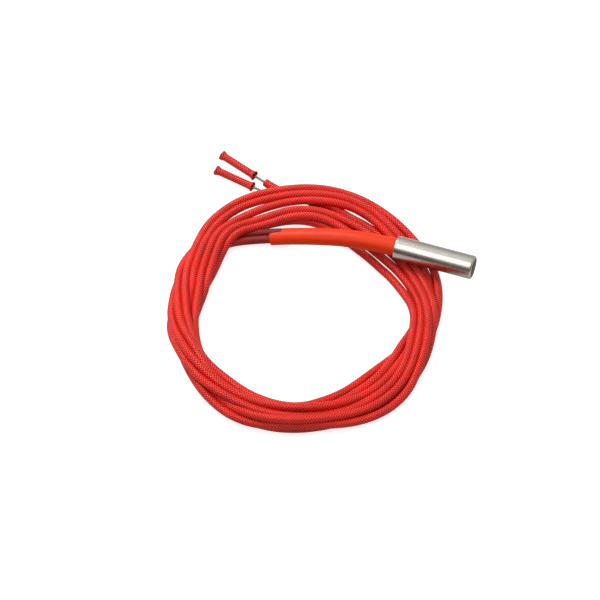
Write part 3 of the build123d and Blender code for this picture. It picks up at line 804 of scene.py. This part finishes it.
def plated_wire():
    """Nickel-plated copper strand: grey metal, drawn and a little dull."""
    material, tree = new_material("nickel_plated_copper_strand")
    place = add_node(tree, "TexCoord").outputs["Object"]
    patches = add_node(tree, "TexNoise", {"Vector": place, "Scale": 1 / STRAND_PATCH, "Detail": 2.0}).outputs["Fac"]
    colour = add_node(tree, "Mix", {"Factor": patches, "A": linear("#6A645E"), "B": linear("#B4B0A8")},
                      data_type="RGBA")
    shader = add_node(tree, "BsdfPrincipled", {"Base Color": colour.outputs[2], "Metallic": 1.0, "Roughness": 0.32})
    add_node(tree, "OutputMaterial", {"Surface": shader.outputs[0]})
    return material


plated_strand = plated_wire()


# %% Bare wires
STRAND_RADIUS, STRAND_CIRCLE, STRAND_TURN = 0.115 * MM, 0.235 * MM, 9 * MM


def strands(start, end, columns=10, rows=40):
    """Seven strands 0.23 mm thick: one in the middle and six round it at 0.235 mm, which turn once in 9 mm."""
    share = np.linspace(0, 1, rows)
    middle_line = start + share[:, None] * (end - start)
    length = np.linalg.norm(end - start)
    left, up = ring_axes(middle_line)
    skins = []
    for number in range(7):
        away = 0.0 if number == 0 else STRAND_CIRCLE
        turn = 2 * np.pi * (number / 6 + share * length / STRAND_TURN)
        line = middle_line + away * (np.cos(turn)[:, None] * left + np.sin(turn)[:, None] * up)
        points, picked = close_ends(line, round_line(line, STRAND_RADIUS, STRAND_RADIUS, columns))
        skins.append(skin(points, (share * length)[picked]))
    return skins


# %% Slugs of braid
SLUG_LENGTH, WIRE_IN_SLUG = 10.8 * MM, 7.5 * MM
RAGGED_BY, RAGGED_WITHIN = 0.12, 1.2 * MM            # the first in mm


def slug(near, far, seed, columns=40):
    """A tube of braid from near to far: radius 0.955 mm, swelling to 1.3 mm at both cuts, with a bore, and pressed flat
    where it would go below the floor. The cut edges wander in and out by up to 0.12 mm from column to column."""
    length = np.linalg.norm(far - near)
    random = np.random.default_rng(seed)
    ragged = random.uniform(-RAGGED_BY, RAGGED_BY, (2, columns)) * MM
    # Distance along the slug and radius, both in mm
    outside = np.array([(0.0, 1.28), (0.25, 1.16), (0.7, 1.01), *[(s, 0.955) for s in np.linspace(1.2, 9.3, 14)],
                        (9.9, 0.99), (10.3, 1.10), (10.6, 1.22), (10.8, 1.32)])
    inside = np.array([(10.8, 1.05), (10.3, 0.76), (10.0, 0.42), *[(s, 0.40) for s in np.linspace(9.5, 1.2, 8)],
                       (0.9, 0.42), (0.4, 0.70), (0.0, 1.00)])
    rows = np.concatenate([outside, inside]) * MM
    at_near, at_far = 1 - ease(rows[:, 0], 0, RAGGED_WITHIN), ease(rows[:, 0], length - RAGGED_WITHIN, length)
    along = rows[:, 0][:, None] + at_near[:, None] * ragged[0] + at_far[:, None] * ragged[1]
    ahead = (far - near) / length
    left = np.cross(UPRIGHT, ahead)
    turn = 2 * np.pi * np.arange(columns) / columns
    out = np.cos(turn)[:, None] * left + np.sin(turn)[:, None] * UPRIGHT
    points = near + along[..., None] * ahead + rows[:, 1][:, None, None] * out
    # Below the floor, a twentieth of the depth is kept, from a hundredth of a millimetre above it on.
    points[..., 2] = np.maximum(points[..., 2], FLOOR + 0.01 * MM + 0.05 * (points[..., 2] - FLOOR))
    return skin(points, np.append(rows[:, 0], rows[0, 0]), closed=True)


# %% Loose yarns
YARN_COLUMNS, YARN_ROOT, BRAID_WALL, YARN_OFF_FLOOR = 5, 0.3, 0.93, 0.06 * MM      # root and wall in mm
YARN_RADII = np.array([0.045, 0.045, 0.04, 0.03, 0.0]) * MM                        # along a yarn


def frayed_yarns(middle, ahead, count, seed):
    """Loose yarn ends round a cut: thin tapering hairs 0.5 to 1.1 mm long that start in the braid's wall and bend
    outwards with the square of their length."""
    random = np.random.default_rng(seed)
    left = np.cross(UPRIGHT, ahead)
    skins = []
    for turn, length, lean in zip(random.uniform(0, 2 * np.pi, count), random.uniform(0.5, 1.1, count) * MM,
                                  random.uniform(0.1, 0.7, count)):
        out = np.cos(turn) * left + np.sin(turn) * UPRIGHT
        share = np.linspace(0, 1, len(YARN_RADII))
        line = (middle - ahead * YARN_ROOT * MM + out * BRAID_WALL * MM + share[:, None] * length * ahead
                + (share**2)[:, None] * lean * length * out)
        line[:, 2] = np.maximum(line[:, 2], FLOOR + YARN_OFF_FLOOR)
        rings = round_line(line, YARN_RADII, YARN_RADII, YARN_COLUMNS)
        closing = np.repeat(line[:1, None], YARN_COLUMNS, axis=1)
        skins.append(skin(np.concatenate([closing, rings]), np.append(0, share * length)))
    return skins


# %% Both stripped ends
# Each wire goes on where its lead's insulation stops, and lies as high as the lead's last point.
WIRE_2_SHOWS, WIRE_2_TURN = 4.3 * MM, np.radians(167.9)
cut_1 = lead_1_way_out[-1]
near_1, near_2 = np.array([(-53.6, 16.5, -6.73), (-52.8, 12.8, -6.73)]) * MM
ahead_1 = (near_1 - cut_1) / np.linalg.norm(near_1 - cut_1)
ahead_2 = np.array([np.cos(WIRE_2_TURN), np.sin(WIRE_2_TURN), 0.0])


def frayed_slug(near, ahead, seed):
    """A slug with 26 loose yarns at its far cut and 12 at its near one."""
    far = near + SLUG_LENGTH * ahead
    return [slug(near, far, seed), *frayed_yarns(far, ahead, 26, seed + 1),
            *frayed_yarns(near, -ahead, 12, seed + 2)]


slug_1 = make_piece("insulation_slug_1_braid", frayed_slug(near_1, ahead_1, 3), slug_braid)
slug_2 = make_piece("insulation_slug_2_braid", frayed_slug(near_2, ahead_2, 6), slug_braid)
wire_1 = make_piece("bare_conductor_1_strands", strands(cut_1, near_1 + WIRE_IN_SLUG * ahead_1),
                    plated_strand)
wire_2 = make_piece("bare_conductor_2_strands",
                    strands(near_2 - WIRE_2_SHOWS * ahead_2, near_2 + WIRE_IN_SLUG * ahead_2), plated_strand)
for made, node in ((slug_1, "insulation_slug_1"), (slug_2, "insulation_slug_2"), (wire_1, "bare_conductor_1"),
                   (wire_2, "bare_conductor_2")):
    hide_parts(node)

# %% The two leads
print("cords:", lead_1.name, "and", lead_2.name)

# %% [markdown]
# ## Inside the sheath
# The heating element is out of sight, and its CAD shapes are right as they are, so they only get finishes: pressed
# magnesia ceramic, packed magnesia powder, nickel-chrome wire, nickel pins and crimps, and grey potting cement.

# %% Materials of the inside
def grainy(name, pale, dark, grain, roughness, metallic=0.0, depth=0.01 * MM):
    """A finish with one grain: noise at that spacing in metres mixes two colours and moves the surface."""
    material, tree = new_material(name)
    place = add_node(tree, "TexCoord").outputs["Object"]
    noise = add_node(tree, "TexNoise", {"Vector": place, "Scale": 1 / grain, "Detail": 4.0,
                                        "Roughness": 0.6}).outputs["Fac"]
    colour = add_node(tree, "Mix", {"Factor": noise, "A": linear(dark), "B": linear(pale)}, data_type="RGBA")
    bump = add_node(tree, "Bump", {"Height": noise, "Distance": depth, "Strength": 0.7})
    shader = add_node(tree, "BsdfPrincipled", {"Base Color": colour.outputs[2], "Roughness": roughness,
                                               "Metallic": metallic, "Normal": bump.outputs[0]})
    add_node(tree, "OutputMaterial", {"Surface": shader.outputs[0]})
    return material


inside = {
    grainy("pressed_magnesia_ceramic", "#F4F0E6", "#DAD2C2", 0.25 * MM, 0.65):
        ("hot_end_insulator", "ceramic_core", "cold_end_insulator"),
    grainy("packed_magnesia_powder", "#EDEAE2", "#BDB6A8", 0.15 * MM, 0.95): ("magnesia_fill",),
    grainy("oxidised_nickel_chrome_wire", "#8C857C", "#3E3A38", 0.10 * MM, 0.45, 1.0, 0.002 * MM): ("resistance_coil",),
    grainy("drawn_nickel", "#D5D0C4", "#A39C8E", 0.30 * MM, 0.30, 1.0, 0.001 * MM):
        ("terminal_pin_1", "terminal_pin_2", "crimp_barrel_1", "crimp_barrel_2", "conductor_stub_1",
         "conductor_stub_2"),
    grainy("grey_potting_cement", "#CFC8BC", "#9A9184", 0.20 * MM, 0.85): ("potting",),
}
for material, names in inside.items():
    for name in names:
        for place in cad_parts[name].material_slots:
            place.material = material
    print(material.name, "is on", ", ".join(names))

# %% [markdown]
# ## Floor, sky and lamps
# The photograph is on plain white, with hardly a shadow. For the light, the floor is mid grey paper, so that it throws
# little red and white back up under the leads. A glow that only the camera sees lifts it to full white and leaves a
# faint shadow, and a weak one shows it to mirrors. The sky is a soft studio tent: bright overhead and dim low down in
# front, which draws the dark band along the steel. One soft box overhead in front gives the steel its bright band, and
# one at the back left lights the leads.

# %% Floor
PAPER_GREY, EYE_GLOW, MIRROR_GLOW, FLOOR_HALF = 0.5, 0.80, 0.15, 3.0


def backdrop_paper():
    """Paper that spreads light, plus a glow: EYE_GLOW for camera rays, and MIRROR_GLOW for glossy and transmission
    rays."""
    material, tree = new_material("backdrop_paper")
    rays = add_node(tree, "LightPath")
    eye = add_node(tree, "Math", {0: rays.outputs["Is Camera Ray"], 1: EYE_GLOW}, operation="MULTIPLY")
    mirrored = add_node(tree, "Math", {0: rays.outputs["Is Glossy Ray"], 1: rays.outputs["Is Transmission Ray"]},
                        operation="ADD")
    glow = add_node(tree, "Math", {0: mirrored.outputs[0], 1: MIRROR_GLOW, 2: eye.outputs[0]},
                    operation="MULTIPLY_ADD")
    spread = add_node(tree, "BsdfDiffuse", {"Color": (PAPER_GREY, PAPER_GREY, PAPER_GREY, 1.0)})
    light = add_node(tree, "Emission", {"Color": (1, 1, 1, 1), "Strength": glow.outputs[0]})
    both = add_node(tree, "AddShader", {0: spread.outputs[0], 1: light.outputs[0]})
    add_node(tree, "OutputMaterial", {"Surface": both.outputs[0]})
    return material


paper = bpy.data.meshes.new("floor")
paper.from_pydata([(x * FLOOR_HALF, y * FLOOR_HALF, FLOOR) for x, y in ((-1, -1), (1, -1), (1, 1), (-1, 1))], [],
                  [(0, 1, 2, 3)])
paper.materials.append(backdrop_paper())
floor = bpy.data.objects.new("floor", paper)
bpy.context.scene.collection.objects.link(floor)
print("floor at", round(FLOOR / MM, 1), "mm")

# %% Sky
world = bpy.data.worlds.new("studio_tent")
world.use_nodes = True
bpy.context.scene.world = world
sky = world.node_tree
sky.nodes.clear()
direction = add_node(sky, "SeparateXYZ", {0: add_node(sky, "TexCoord").outputs["Generated"]})
height = add_node(sky, "MapRange", {"Value": direction.outputs["Z"], "From Min": 0.08, "From Max": 0.95,
                                    "To Min": 0.04, "To Max": 0.55}, interpolation_type="SMOOTHSTEP")
behind = add_node(sky, "MapRange", {"Value": direction.outputs["Y"], "From Min": -0.5, "From Max": 0.5,
                                    "To Min": 0.0, "To Max": 0.42}, interpolation_type="SMOOTHSTEP")
tent = add_node(sky, "Math", {0: height.outputs[0], 1: behind.outputs[0]}, operation="ADD")
eye = add_node(sky, "LightPath").outputs["Is Camera Ray"]
level = add_node(sky, "Mix", {"Factor": eye, "A": tent.outputs[0], "B": 1.0})      # full white for the camera
glow = add_node(sky, "Background", {"Color": (1, 1, 1, 1), "Strength": level.outputs["Result"]})
add_node(sky, "OutputWorld", {"Surface": glow.outputs[0]})
print("sky:", world.name)


# %% Lamps
def soft_box(name, place, aim, width, depth, power):
    """A rectangular area lamp of a power in watts, at a place in metres, turned towards its aim."""
    lamp = bpy.data.objects.new(name, bpy.data.lights.new(name, "AREA"))
    lamp.data.shape, lamp.data.size, lamp.data.size_y, lamp.data.energy = "RECTANGLE", width, depth, power
    lamp.location = place
    lamp.rotation_euler = (Vector(aim) - Vector(place)).to_track_quat("-Z", "Y").to_euler()
    bpy.context.scene.collection.objects.link(lamp)
    print(name, "gives", power, "W from", place)


soft_box("overhead_front", (-0.19, -0.35, 0.78), aim=(-0.02, -0.01, 0), width=0.5, depth=0.66, power=2.1)
soft_box("left_back", (-0.62, 0.30, 0.80), aim=(-0.02, -0.01, 0), width=0.45, depth=0.45, power=6.6)

bpy.context.scene.view_settings.view_transform = "Standard"
